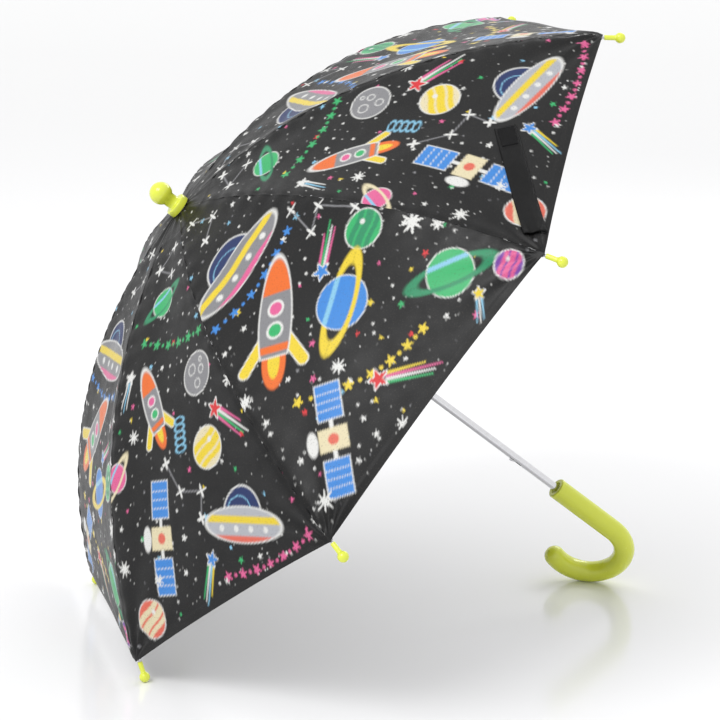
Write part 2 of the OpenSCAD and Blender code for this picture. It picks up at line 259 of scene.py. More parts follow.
# materials
clothLook = {
    "roughness": 0.42, "inkGloss": 0.12, "reflection": 0.28, "threadGap": 0.0006,
    "speckle": (0.045, 0.038, 0.032, 1),
}


def makePrintedCloth():
    # the print is a colour kept at each point of the mesh, under a fine speckle
    material, nodes, links = newMaterial("printedSatin")
    shader = nodes["Principled BSDF"]
    shader.inputs["Specular IOR Level"].default_value = clothLook["reflection"]
    flat = addNode(nodes, "ShaderNodeUVMap", uv_map="flat").outputs["UV"]
    ink = addNode(nodes, "ShaderNodeAttribute", attribute_name="print").outputs["Color"]
    fine = noiseOn(nodes, links, flat, 900.0, 3.0)
    speckle = stepRange(nodes, links, fine, 0.60, 0.68, 0.0, 0.55)
    colour = colourMix(nodes, links, speckle, ink, clothLook["speckle"])
    links.new(colour, shader.inputs["Base Color"])
    # printed ink is glossier than the bare satin, and both shimmer a little
    shimmer = noiseOn(nodes, links, flat, 60.0, 4.0)
    bright = addNode(nodes, "ShaderNodeRGBToBW")
    links.new(ink, bright.inputs["Color"])
    dull, shiny = clothLook["roughness"] + 0.08, clothLook["roughness"] - 0.05
    bare = stepRange(nodes, links, shimmer, 0.3, 0.7, shiny, dull)
    glossy = stepRange(nodes, links, bright.outputs["Val"], 0.02, 0.3, 0.0, clothLook["inkGloss"])
    less = addNode(nodes, "ShaderNodeMath", operation="SUBTRACT")
    links.new(bare, less.inputs[0])
    links.new(glossy, less.inputs[1])
    links.new(less.outputs[0], shader.inputs["Roughness"])
    threads = weaveHeight(nodes, links, flat, clothLook["threadGap"])
    links.new(bumpFrom(nodes, links, threads, 0.00006, 0.5), shader.inputs["Normal"])
    return material


def makePlainCloth(name, colour, roughness, threadGap):
    # a woven cloth in one colour, patchy in shade and gloss
    material, nodes, links = newMaterial(name)
    shader = nodes["Principled BSDF"]
    shader.inputs["Specular IOR Level"].default_value = 0.22
    flat = addNode(nodes, "ShaderNodeUVMap", uv_map="flat").outputs["UV"]
    patchy = noiseOn(nodes, links, flat, 120.0, 4.0)
    darker = tuple(0.6 * c for c in colour[:3]) + (1,)
    links.new(colourMix(nodes, links, patchy, darker, colour), shader.inputs["Base Color"])
    worn = stepRange(nodes, links, patchy, 0.2, 0.8, roughness - 0.05, roughness + 0.08)
    links.new(worn, shader.inputs["Roughness"])
    threads = weaveHeight(nodes, links, flat, threadGap)
    links.new(bumpFrom(nodes, links, threads, 0.00015, 0.7), shader.inputs["Normal"])
    return material


def makeMoulded(name, colour, roughness, coat=0.0):
    # moulded plastic: slight mottling of colour, a faint ripple and a few soft scuffs
    material, nodes, links = newMaterial(name)
    shader = nodes["Principled BSDF"]
    shader.inputs["Coat Weight"].default_value = coat
    shader.inputs["Coat Roughness"].default_value = 0.06
    shader.inputs["Subsurface Weight"].default_value = 0.05
    shader.inputs["Subsurface Radius"].default_value = (0.004, 0.004, 0.001)
    place = addNode(nodes, "ShaderNodeTexCoord").outputs["Object"]
    mottled = noiseOn(nodes, links, place, 45.0, 3.0)
    darker = tuple(0.93 * c for c in colour[:3]) + (1,)
    links.new(colourMix(nodes, links, mottled, darker, colour), shader.inputs["Base Color"])
    scuffs = noiseOn(nodes, links, place, 380.0, 6.0)
    worn = stepRange(nodes, links, scuffs, 0.35, 0.75, roughness, roughness + 0.14)
    links.new(worn, shader.inputs["Roughness"])
    links.new(bumpFrom(nodes, links, mottled, 0.0004, 0.25), shader.inputs["Normal"])
    return material


def makeMetal(name, colour, roughness, grain):
    # plated steel: fine drawn streaks in roughness and a faint bump
    material, nodes, links = newMaterial(name)
    shader = nodes["Principled BSDF"]
    shader.inputs["Metallic"].default_value = 1.0
    place = addNode(nodes, "ShaderNodeTexCoord").outputs["Object"]
    streaks = noiseOn(nodes, links, place, grain, 5.0)
    dull = tuple(0.82 * c for c in colour[:3]) + (1,)
    links.new(colourMix(nodes, links, streaks, dull, colour), shader.inputs["Base Color"])
    worn = stepRange(nodes, links, streaks, 0.3, 0.75, roughness * 0.8, roughness * 1.5)
    links.new(worn, shader.inputs["Roughness"])
    links.new(bumpFrom(nodes, links, streaks, 0.00004, 0.4), shader.inputs["Normal"])
    return material


printedCloth = makePrintedCloth()
liningCloth = makePlainCloth("liningSatin", (0.012, 0.012, 0.013, 1), 0.5, 0.0006)
strapCloth = makePlainCloth("strapWeave", (0.0022, 0.0022, 0.0025, 1), 0.6, 0.0009)
hookPatch = makePlainCloth("strapPatch", (0.0045, 0.0045, 0.005, 1), 0.85, 0.0014)
limePlastic = makeMoulded("limeYellowPlastic", (0.70, 0.76, 0.060, 1), 0.16, coat=0.35)
blackPlastic = makeMoulded("blackHubPlastic", (0.018, 0.018, 0.020, 1), 0.38)
chromeTube = makeMetal("chromedTube", (0.78, 0.78, 0.80, 1), 0.09, 260.0)
platedSteel = makeMetal("platedRibSteel", (0.60, 0.60, 0.62, 1), 0.28, 420.0)
threadCloth = makePlainCloth("sewingThread", (0.016, 0.016, 0.018, 1), 0.6, 0.0004)
print("materials made")


# print on the cloth: places in millimetres, s down from the crown, l across the gore
inks = {
    "ground": (0.0030, 0.0030, 0.0034), "white": (0.62, 0.62, 0.60), "grey": (0.20, 0.20, 0.21),
    "cream": (0.62, 0.55, 0.36), "yellow": (0.66, 0.50, 0.03), "orange": (0.66, 0.13, 0.02),
    "red": (0.55, 0.025, 0.03), "pink": (0.60, 0.10, 0.25), "coral": (0.60, 0.12, 0.08),
    "green": (0.03, 0.36, 0.12), "blue": (0.04, 0.20, 0.55), "sky": (0.20, 0.45, 0.62),
    "navy": (0.012, 0.025, 0.10), "purple": (0.16, 0.05, 0.30), "leaf": (0.02, 0.22, 0.10),
    "silver": (0.36, 0.37, 0.40),
}
printEdge = 1.1  # soft edge of the ink, in mm


class Canvas:
    def __init__(self, s, l):
        self.s, self.l = s, l
        self.colour = np.broadcast_to(np.array(inks["ground"]), s.shape + (3,)).copy()

    def at(self, s, l, turn=0.0):
        # local x across and y towards the crown, turned by degrees
        c, k = math.cos(math.radians(turn)), math.sin(math.radians(turn))
        x, y = self.l - l, s - self.s
        return x * c + y * k, y * c - x * k

    def ink(self, distance, name):
        # covers where the signed distance is below zero, with a soft edge
        cover = np.clip(0.5 - distance / printEdge, 0, 1)[..., None]
        self.colour = self.colour * (1 - cover) + np.array(inks[name]) * cover


def discShape(x, y, r):
    return np.hypot(x, y) - r


def ringShape(x, y, r, width):
    return np.abs(np.hypot(x, y) - r) - width / 2


def ovalShape(x, y, a, b):
    # near an ellipse: scaled distance times the smaller half axis
    return (np.hypot(x / a, y / b) - 1) * min(a, b)


def boxShape(x, y, a, b):
    return np.maximum(np.abs(x) - a, np.abs(y) - b)


def starShape(x, y, r, points, waist):
    # radius swings between r at each point and r times waist between them
    angle = np.arctan2(x, y)
    fold = np.abs(((angle * points / (2 * math.pi)) + 0.5) % 1 - 0.5) * 2
    return np.hypot(x, y) - r * (waist + (1 - waist) * (1 - fold) ** 1.6)


def strokeShape(x, y, ends, width):
    # distance to a straight stroke between two places
    (ax, ay), (bx, by) = ends
    along = (x - ax) * (bx - ax) + (y - ay) * (by - ay)
    share = np.clip(along / ((bx - ax) ** 2 + (by - ay) ** 2), 0, 1)
    return np.hypot(x - ax - share * (bx - ax), y - ay - share * (by - ay)) - width / 2


def drawPlanet(canvas, s, l, r, body, stripe, turn=20.0):
    x, y = canvas.at(s, l, turn)
    globe = discShape(x, y, r)
    canvas.ink(globe - 1.2, "white")
    canvas.ink(globe, body)
    for height, width in ((0.45, 0.16), (-0.05, 0.22), (-0.55, 0.14)):
        wavy = y - height * r + 0.06 * r * np.sin(x / r * 3)
        canvas.ink(np.maximum(globe, np.abs(wavy) - width * r), stripe)
    canvas.ink(discShape(x - 0.35 * r, y - 0.2 * r, 0.14 * r), "white")


def drawRinged(canvas, s, l, r, body, ring, turn=65.0):
    x, y = canvas.at(s, l, turn)
    globe = discShape(x, y, r)
    band = np.abs(ovalShape(x, y, 1.75 * r, 0.5 * r)) - 0.09 * r
    canvas.ink(np.maximum(band, -y), ring)
    canvas.ink(globe - 0.9, "white")
    canvas.ink(globe, body)
    canvas.ink(np.maximum(globe, np.abs(y - 0.45 * r) - 0.1 * r), "sky")
    canvas.ink(np.maximum(band, y), ring)


def drawMoon(canvas, s, l, r):
    x, y = canvas.at(s, l, 0)
    canvas.ink(discShape(x, y, r), "white")
    canvas.ink(discShape(x, y, r - 1.1), "grey")
    for dx, dy, share in ((-0.3, 0.3, 0.25), (0.35, 0.05, 0.18), (-0.05, -0.45, 0.2), (0.4, 0.5, 0.1)):
        canvas.ink(ringShape(x - dx * r, y - dy * r, share * r, 0.9), "white")


def drawComet(canvas, tail, head, size, inksUsed, star):
    # separate streaks that fan out from a star at the head and thin out towards the tail
    (ts, tl), (hs, hl) = tail, head
    length = math.hypot(hs - ts, hl - tl)
    turn = -math.degrees(math.atan2(hl - tl, ts - hs))
    x, y = canvas.at(hs, hl, turn)
    for number, ink in enumerate(inksUsed):
        offset = (number - (len(inksUsed) - 1) / 2) / len(inksUsed)
        reach = length * (1 - 0.28 * abs(offset) * 2 - 0.1 * (number % 2))
        far = np.clip(-y / reach, 0, 1)
        centre = offset * size * (0.9 + 0.5 * far)
        width = size * (0.15 - 0.09 * far)
        streak = np.maximum(np.abs(x - centre) - width, np.maximum(y + size * 0.6, -y - reach))
        canvas.ink(streak, ink)
    canvas.ink(starShape(x, y, size * 1.05, 5, 0.46), "white")
    canvas.ink(starShape(x, y, size * 0.82, 5, 0.44), star)


def drawTrail(canvas, start, end, sag, ink, count=11):
    # a bowed row of small stars and dots in one ink
    (s0, l0), (s1, l1) = start, end
    for number in range(count):
        t = number / (count - 1)
        s = s0 + (s1 - s0) * t + sag * math.sin(math.pi * t)
        x, y = canvas.at(s, l0 + (l1 - l0) * t, 24 * number)
        if number % 2:
            canvas.ink(discShape(x, y, 1.7), ink)
        else:
            canvas.ink(starShape(x, y, 5.2, 5, 0.42), ink)


def drawCoil(canvas, s, l, size, turn, ink):
    # a coil of open loops, one after another
    x, y = canvas.at(s, l, turn)
    for number in range(5):
        loop = ovalShape(x, y - (number - 2) * size * 0.4, size * 0.42, size * 0.2)
        canvas.ink(np.abs(loop) - 0.6, ink)


def drawSaucer(canvas, s, l, size, dome, body, rim, turn):
    x, y = canvas.at(s, l, turn)
    canvas.ink(np.maximum(ovalShape(x, y, size * 0.52, size * 0.62), -y) - 1.3, "white")
    canvas.ink(np.maximum(ovalShape(x, y, size * 0.52, size * 0.62), -y), dome)
    canvas.ink(ringShape(x + size * 0.08, y - size * 0.1, size * 0.34, 0.9), "sky")
    skirt = ovalShape(x, y + size * 0.12, size * 1.0, size * 0.34)
    canvas.ink(skirt - 1.2, "white")
    canvas.ink(skirt, body)
    canvas.ink(np.maximum(skirt, np.abs(y + size * 0.02) - size * 0.07), "yellow")
    canvas.ink(np.maximum(skirt, y + size * 0.34), rim)
    for place in (-0.6, -0.2, 0.2, 0.6):
        canvas.ink(discShape(x - place * size, y + size * 0.2, size * 0.065), "white")


def drawRocket(canvas, s, l, size, turn):
    x, y = canvas.at(s, l, turn)
    hull = ovalShape(x, y, size * 0.27, size)
    body = np.maximum(hull, -y - size * 0.62)
    for side in (-1, 1):
        finEnds = ((side * size * 0.2, -size * 0.35), (side * size * 0.48, -size * 0.78))
        fin = strokeShape(x, y, finEnds, size * 0.17)
        canvas.ink(fin - 1.1, "white")
        canvas.ink(fin, "yellow")
    for width, reach, name in ((0.2, 1.05, "orange"), (0.1, 0.88, "yellow")):
        canvas.ink(ovalShape(x, y + size * 0.7, size * width, size * (reach - 0.6)), name)
    canvas.ink(body - 1.3, "white")
    canvas.ink(body, "grey")
    canvas.ink(np.maximum(body, size * 0.42 - y), "orange")
    canvas.ink(np.maximum(body, np.abs(y + size * 0.5) - size * 0.06), "orange")
    for height, name in ((0.16, "pink"), (-0.2, "green")):
        canvas.ink(discShape(x, y - size * height, size * 0.145), "white")
        canvas.ink(discShape(x, y - size * height, size * 0.105), name)


def drawSatellite(canvas, s, l, size, turn):
    x, y = canvas.at(s, l, turn)
    canvas.ink(boxShape(x, y, size * 1.25, size * 0.05), "white")
    for side in (-1, 1):
        panel = boxShape(x - side * size * 0.9, y, size * 0.42, size * 0.3)
        canvas.ink(panel - 1.0, "white")
        canvas.ink(panel, "blue")
        for line in (-0.2, 0.0, 0.2):
            canvas.ink(np.maximum(panel, np.abs(x - side * size * 0.9 - line * size) - 0.35), "white")
    canvas.ink(boxShape(x, y, size * 0.27, size * 0.36), "cream")
    canvas.ink(ovalShape(x, y - size * 0.52, size * 0.3, size * 0.14), "white")
    canvas.ink(discShape(x, y, size * 0.13), "coral")


def drawConstellation(canvas, places):
    for (s0, l0), (s1, l1) in zip(places[:-1], places[1:]):
        canvas.ink(strokeShape(canvas.l, canvas.s, ((l0, s0), (l1, s1)), 1.3), "grey")
    for s, l in places:
        x, y = canvas.at(s, l, 0)
        canvas.ink(starShape(x, y, 6.5, 4, 0.22), "white")


scatter = {
    "down": 400, "aside": 150, "starDown": 24, "starAside": 26, "starShare": 0.66, "starBox": 6,
    "dotGap": 11, "dotShake": 5.5, "dotShare": 0.62, "whiteShare": 0.8,
    "starInks": ("white", "white", "red", "pink", "green", "yellow", "white", "sky"),
}


def scatterStars(canvas, seed):
    # small stars on a shaken grid, and splatter dots of mixed size on another
    random = np.random.default_rng(seed)
    inkNames, aside, box = scatter["starInks"], scatter["aside"], scatter["starBox"]
    for s in range(40, scatter["down"], scatter["starDown"]):
        for l in range(-aside, aside + 1, scatter["starAside"]):
            ds, dl = random.uniform(-9, 9), random.uniform(-10, 10)
            r, pick = random.uniform(1.8, 3.9), random.integers(len(inkNames))
            x, y = canvas.at(s + ds, l + dl, random.uniform(0, 72))
            near = (np.abs(x) < box) & (np.abs(y) < box)
            if near.any() and random.random() < scatter["starShare"]:
                shape = np.where(near, starShape(x, y, r, 5, 0.42), 9.0)
                canvas.ink(shape, inkNames[pick])
    for s in range(20, scatter["down"], scatter["dotGap"]):
        for l in range(-aside, aside + 1, scatter["dotGap"]):
            ds, dl = random.uniform(-scatter["dotShake"], scatter["dotShake"], 2)
            r = 0.35 + 1.0 * random.random() ** 4
            if random.random() < scatter["dotShare"]:
                distance = np.hypot(canvas.s - s - ds, canvas.l - l - dl) - r
                canvas.ink(distance, "white" if random.random() < scatter["whiteShare"] else "grey")


def drawBursts(canvas, places):
    # large white stars with eight points, each at s, l with a radius
    for s, l, r in places:
        x, y = canvas.at(s, l)
        canvas.ink(starShape(x, y, r, 8, 0.34), "white")


def printOdd(canvas):
    scatterStars(canvas, 11)
    drawConstellation(canvas, [(50, -5), (75, 10), (90, -10)])
    drawTrail(canvas, (185, -60), (180, 35), 8, "blue")
    drawSaucer(canvas, 150, -10, 50, "navy", "grey", "pink", 5)
    drawRocket(canvas, 230, -25, 54, -45)
    drawPlanet(canvas, 250, 70, 16, "green", "leaf")
    drawRinged(canvas, 275, 15, 22, "blue", "yellow", 25.0)
    drawComet(canvas, (215, 65), (240, 25), 9, ("pink", "white", "green", "pink"), "blue")
    drawConstellation(canvas, [(170, 50), (205, 45), (195, 65), (230, 80), (215, 100)])
    drawTrail(canvas, (300, -65), (350, 35), 12, "yellow", 13)
    drawRinged(canvas, 340, 80, 19, "green", "leaf", -35.0)
    drawComet(canvas, (385, 25), (345, -15), 10, ("green", "white", "pink", "yellow"), "red")
    drawSatellite(canvas, 345, -70, 34, 50)
    drawPlanet(canvas, 375, 110, 11, "purple", "pink")
    drawComet(canvas, (390, 60), (370, 80), 6, ("sky", "white", "sky"), "yellow")
    drawBursts(canvas, [(285, 95, 11), (260, -90, 8), (310, -25, 7)])
    drawBursts(canvas, [(305, 105, 7), (385, -30, 6), (370, -110, 9)])


def printEven(canvas):
    scatterStars(canvas, 23)
    drawConstellation(canvas, [(55, 10), (70, -10), (85, 10)])
    drawRinged(canvas, 110, 0, 13, "green", "leaf", 20.0)
    drawTrail(canvas, (140, -25), (170, 55), 6, "green")
    drawRocket(canvas, 205, -20, 37, 10)
    drawMoon(canvas, 205, 45, 19)
    drawPlanet(canvas, 270, 40, 17, "cream", "yellow")
    drawCoil(canvas, 245, 10, 15, -10, "sky")
    drawComet(canvas, (285, 95), (245, 60), 10, ("pink", "green", "white", "pink"), "red")
    drawComet(canvas, (195, -60), (165, -45), 7, ("white", "sky", "white"), "white")
    drawSaucer(canvas, 340, 55, 42, "navy", "silver", "coral", -25)
    drawSatellite(canvas, 315, -45, 36, 70)
    drawComet(canvas, (390, -25), (355, 5), 8, ("green", "white", "sky", "yellow"), "blue")
    drawPlanet(canvas, 370, -90, 16, "coral", "cream")
    drawRinged(canvas, 245, -80, 12, "pink", "cream", 40.0)
    drawTrail(canvas, (375, 15), (380, 115), 7, "pink", 13)
    drawConstellation(canvas, [(260, -15), (290, -5), (300, 20), (320, 10)])
    drawBursts(canvas, [(320, -100, 8), (220, -50, 7), (390, 60, 6)])
    drawBursts(canvas, [(290, 110, 7), (345, -65, 6), (230, 85, 7)])


# canopy cloth
cloth = {
    "step": 0.0014, "sag": 0.0042, "hemPull": 0.003, "seamDip": 0.0007, "seamWidth": 0.0035,
    "pucker": 0.00045, "puckerGap": 0.021, "tipFold": 0.0011, "hemBand": 0.007, "hemRise": 0.0004,
    "thickness": 0.0004, "closedWidth": 0.11, "puckerReach": 0.011, "puckerFrom": 0.08, "fanReach": 0.065,
    "fanClear": 0.012, "fanFolds": 11, "billow": 0.0009, "pullFrom": 0.75,
}


def clothPoints(i, angle, across):
    # angle runs down the rib's arc and across from -1 to 1 between two ribs. The cloth is
    # straight between the ribs, drawn in by a sag, with puckers at the seams and folds that
    # fan out from the two tips.
    wave = np.random.default_rng(100 + i).uniform(0, 2 * math.pi, 8)
    out = arcCentre[0] + clothBend * np.sin(angle)
    up = arcCentre[1] + clothBend * np.cos(angle)
    half = out * math.sin(sector / 2)
    down = clothBend * (angle - apexAngle)
    share = np.clip((angle - clothStart) / (clothEnd - clothStart), 0, 1)
    fromSeam = half * (1 - np.abs(across))
    inward = cloth["sag"] * (1 - across ** 2) * np.sin(math.pi * share ** 0.8) ** 1.2
    inward = inward + cloth["seamDip"] * np.exp(-(fromSeam / cloth["seamWidth"]) ** 2)
    side = np.where(across > 0, wave[0], wave[1])
    pucker = np.sin(2 * math.pi * down / cloth["puckerGap"] + side + 1.5 * np.sin(down * 31 + wave[2]))
    fade = np.exp(-fromSeam / cloth["puckerReach"])
    inward = inward + cloth["pucker"] * pucker * fade * (share > cloth["puckerFrom"])
    toEnd = clothBend * (clothEnd - angle)
    for edge, phase in ((-1, wave[3]), (1, wave[4])):
        fromCorner = half * np.abs(edge - across)
        reach = np.hypot(fromCorner, toEnd)
        fan = np.arctan2(fromCorner, toEnd + 1e-6)
        fade = np.exp(-reach / cloth["fanReach"]) * np.clip(reach / cloth["fanClear"], 0, 1)
        inward = inward + cloth["tipFold"] * np.sin(fan * cloth["fanFolds"] + phase) * fade
    swell = np.sin(across * 5.2 + wave[5]) * np.sin(share * 7.5 + wave[6]) * (1 - across ** 2)
    inward = inward + cloth["billow"] * swell - cloth["hemRise"] * (toEnd < cloth["hemBand"])
    low = np.clip((share - cloth["pullFrom"]) / (1 - cloth["pullFrom"]), 0, 1)
    pulled = cloth["hemPull"] * (1 - across ** 2) * low ** 2
    r = clothBend - inward
    turn = angle - pulled / clothBend
    reachOut = arcCentre[0] + r * np.sin(turn)
    x = reachOut * math.cos(sector / 2)
    y = across * reachOut * math.sin(sector / 2)
    z = arcCentre[1] + r * np.cos(turn)
    return np.stack(np.broadcast_arrays(x, y, z), -1), down, across * half


def makeGorePart(i, name, top, bottom, body, node):
    rows = int(clothBend * (bottom - top) / cloth["step"]) + 2
    widest = 2 * (arcCentre[0] + clothBend * math.sin(bottom)) * math.sin(sector / 2)
    columns = int(widest / cloth["step"]) + 2
    downRow, acrossRow = np.linspace(top, bottom, rows), np.linspace(-1, 1, columns)
    angle, across = np.meshgrid(downRow, acrossRow, indexing="ij")
    points, down, side = clothPoints(i, angle, across)
    faces = gridFaces(rows, columns)[:, ::-1]
    piece = meshPiece(name, toRow(turned(points, goreAngle(i))), faces.tolist())
    canvas = Canvas(down * 1000, side * 1000)
    (printOdd if i % 2 == 0 else printEven)(canvas)
    # the last few millimetres are the turned hem, in bare ground colour
    if bottom == clothEnd:
        bareHem = cloth["hemBand"] * 1000 * 0.75
        canvas.ink((canvas.s.max() - bareHem) - canvas.s, "ground")
    # the edge stays sharp where two panels meet, so the shading runs on across the fold
    number = np.arange(rows * columns).reshape(rows, columns)
    border = np.zeros(rows * columns, bool)
    border[np.concatenate([number[0], number[-1], number[:, 0], number[:, -1]])] = True
    ends = np.empty(2 * len(piece.data.edges), int)
    piece.data.edges.foreach_get("vertices", ends)
    piece.data.edges.foreach_set("use_edge_sharp", border[ends].reshape(-1, 2).all(1))
    putUv(piece, np.stack([side, down], -1))
    putColour(piece, "print", canvas.colour)
    piece.data.materials.append(printedCloth)
    piece.data.materials.append(liningCloth)
    skin = piece.modifiers.new("clothThickness", "SOLIDIFY")
    skin.thickness = cloth["thickness"]
    skin.offset = -1
    skin.material_offset = 1
    skin.material_offset_rim = 0
    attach(piece, body)
    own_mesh(piece)
    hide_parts(node)


for i in ribNumbers:
    makeGorePart(i, f"canopyTop_{i}", clothStart, foldAngle, f"canopy_gore_{i}", f"canopy_gore_{i}")
    makeGorePart(i, f"canopyHem_{i}", foldAngle, clothEnd, f"canopy_hem_{i}", f"canopy_hem_{i}")
    print("gore", i, "made")


# tie strap: a flat woven band laid across one gore's hem, with a hook patch near one end
strap = {
    "gore": 7, "length": 0.128, "width": 0.019, "fromHem": 0.034, "aside": -0.054, "turn": 22.0,
    "lift": 0.0011, "wave": 0.0007, "edge": 0.0016, "thickness": 0.0009, "patch": 0.024, "patchInset": 0.003,
    "stitchDip": 0.00012, "stitchIn": 0.0018, "stitchWidth": 0.0004, "rows": 140, "columns": 24,
}


def strapPoints(along, aside, height):
    # along and aside are metres on the strap, laid on the cloth and raised by height
    turn = math.radians(strap["turn"])
    s = clothBend * (clothEnd - apexAngle) - strap["fromHem"]
    s = s + aside * math.cos(turn) - along * math.sin(turn)
    l = strap["aside"] + aside * math.sin(turn) + along * math.cos(turn)
    angle = apexAngle + s / clothBend
    half = (arcCentre[0] + clothBend * np.sin(angle)) * math.sin(sector / 2)
    base, _, _ = clothPoints(strap["gore"], angle, l / half)
    out = np.stack([np.sin(angle) * math.cos(sector / 2), 0 * angle, np.cos(angle)], -1)
    return base + out * height[..., None]


def makeStrapPart(name, start, end, width, low, thick, material, bevel):
    # a thin closed band: the upper face is thick in the middle and rounds down to the rim
    # over the bevel, with a dip along the stitching; the lower face follows the cloth
    rows, columns = strap["rows"], strap["columns"]
    alongRow, asideRow = np.linspace(start, end, rows), np.linspace(-width / 2, width / 2, columns)
    along, aside = np.meshgrid(alongRow, asideRow, indexing="ij")
    height = low + strap["wave"] * np.sin(along * 75) * np.cos(aside * 90)
    rim = np.minimum(width / 2 - np.abs(aside), np.minimum(along - start, end - along))
    stitch = strap["stitchDip"] * np.exp(-((rim - strap["stitchIn"]) / strap["stitchWidth"]) ** 2)
    crown = thick * (1 - np.clip(1 - rim / bevel, 0, 1) ** 2) - stitch
    top = strapPoints(along, aside, height + crown)
    under = strapPoints(along, aside, height)
    points = np.concatenate([top.reshape(-1, 3), under.reshape(-1, 3)])
    faces = gridFaces(rows, columns)
    number = np.arange(rows * columns).reshape(rows, columns)
    rimLoop = np.concatenate([number[0], number[1:, -1], number[-1, -2::-1], number[-2:0:-1, 0]])
    after = np.roll(rimLoop, -1)
    count = rows * columns
    sides = np.stack([rimLoop, rimLoop + count, after + count, after], -1)
    allFaces = np.concatenate([faces, faces[:, ::-1] + count, sides[:, ::-1]])
    piece = meshPiece(name, toRow(turned(points, goreAngle(strap["gore"]))), allFaces.tolist())
    flat = np.concatenate([np.stack([along, aside], -1).reshape(-1, 2)] * 2)
    putUv(piece, flat)
    finishRound(piece)
    piece.data.materials.append(material)
    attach(piece, "canopy_hem_7")
    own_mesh(piece)
    return piece


half = strap["length"] / 2
strapPiece = makeStrapPart(
    "tieStrap", -half, half, strap["width"], strap["lift"], strap["thickness"], strapCloth, strap["edge"])
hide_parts("tie_strap")
patchEnd = half - strap["patchInset"]
patchPiece = makeStrapPart(
    "strapPatch", half - strap["patch"] - strap["patchInset"], patchEnd, strap["width"] - 0.005,
    strap["lift"] + strap["thickness"], 0.0006, hookPatch, 0.0008)
print("strap made")


# handle: one round profile carried down the grip and round the bend
handle = {
    "radius": 0.00965, "grip": 0.072, "bend": 0.0345, "bendAngle": 192.0, "endLength": 0.003,
    "side": 140.0, "edge": 0.0015, "mouth": 0.0056, "mouthDepth": 0.0025, "seam": 0.00012,
    "turns": 128, "rings": 190,
}


def handlePath(distance):
    # straight for the grip, then round an arc, then straight again: place and heading in
    # the hook's own plane of (out, height)
    arcLength = handle["bend"] * math.radians(handle["bendAngle"])
    a = np.clip((distance - handle["grip"]) / arcLength, 0, 1) * math.radians(handle["bendAngle"])
    before = np.minimum(distance, handle["grip"])
    beyond = np.maximum(distance - handle["grip"] - arcLength, 0)
    out = handle["bend"] * (1 - np.cos(a)) + beyond * np.sin(a)
    up = umbrella["handleTop"] - before - handle["bend"] * np.sin(a) - beyond * np.cos(a)
    return out, up, a


def makeHandle():
    # the mouth round the shaft, the rounded top edge, the long even stretch and the round end
    r, e = handle["radius"], handle["edge"]
    turns, rings = handle["turns"], handle["rings"]
    end = handle["grip"] + handle["bend"] * math.radians(handle["bendAngle"]) + handle["endLength"]
    profile = np.concatenate([
        [[handle["mouthDepth"], 0.0], [handle["mouthDepth"], handle["mouth"] - 0.0003]],
        [[0.0006, handle["mouth"]]],
        quarterArc(0.0006, handle["mouth"] + 0.0006, 0.0006, 270, 180, 6),
        quarterArc(e, r - e, e, 180, 90, 10),
        np.stack([np.linspace(e + 0.001, end - 0.0005, rings), np.full(rings, r)], -1),
        quarterArc(end, 0, r, 90, 0.5, 18),
    ])
    out, up, a = handlePath(profile[:, 0])
    side = math.radians(handle["side"])
    outward = np.array([math.cos(side), math.sin(side), 0.0])
    axle = np.array([-math.sin(side), math.cos(side), 0.0])
    path = out[:, None] * outward + up[:, None] * np.array([0, 0, 1.0])
    heading = np.sin(a)[:, None] * outward - np.cos(a)[:, None] * np.array([0, 0, 1.0])
    points, faces = sweptTube(path, heading, axle, profile, turns)
    # a faint moulding seam round the outside and the inside of the bend
    centre = path[:, None]
    spoke = points - centre
    angle = np.arange(turns) * 2 * math.pi / turns
    ridge = np.exp(-(np.cos(angle) / 0.05) ** 2)
    onTube = (profile[:, 1] > r - 0.0001)[:, None]
    points = centre + spoke * (1 + handle["seam"] / r * ridge[None, :] * onTube)[..., None]
    allPoints = np.concatenate([points.reshape(-1, 3), path[-1:]])
    last = (len(profile) - 1) * turns + np.arange(turns)
    caps = np.stack([last, np.roll(last, -1), np.full(turns, len(allPoints) - 1)], -1)
    piece = meshPiece("hookHandle", toRow(allPoints), faces.tolist() + caps.tolist())
    finishRound(piece)
    return piece


def makeRevolved(name, profile, place, axis, turns=96):
    # a profile of (height, radius) turned about an axis through place, all in the own frame
    axis = axis / np.linalg.norm(axis)
    across = np.cross(axis, [0.3, 0.5, 0.8])
    across /= np.linalg.norm(across)
    path = place + profile[:, :1] * axis
    heading = np.broadcast_to(axis, path.shape)
    points, faces = sweptTube(path, heading, across, profile, turns)
    piece = meshPiece(name, toRow(points), faces.tolist())
    finishRound(piece)
    return piece


handlePiece = makeHandle()
handlePiece.data.materials.append(limePlastic)
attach(handlePiece, "shaft")
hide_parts("handle")
print("handle made")


# finial and rib tips
finial = {
    "ball": 0.00965, "ballUp": 0.0242, "collar": 0.01025, "collarHeight": 0.0062, "neck": 0.0060,
    "edge": 0.0012, "aboveCloth": 0.0003,
}
tip = {"ball": 0.00435, "neck": 0.00205, "length": 0.0130}
thread = {
    "turns": 3, "steps": 72, "sides": 8, "wire": 0.00018, "ring": 0.0017, "length": 0.0016, "fromHem": 0.004,
    "slopeBack": 0.04,
}


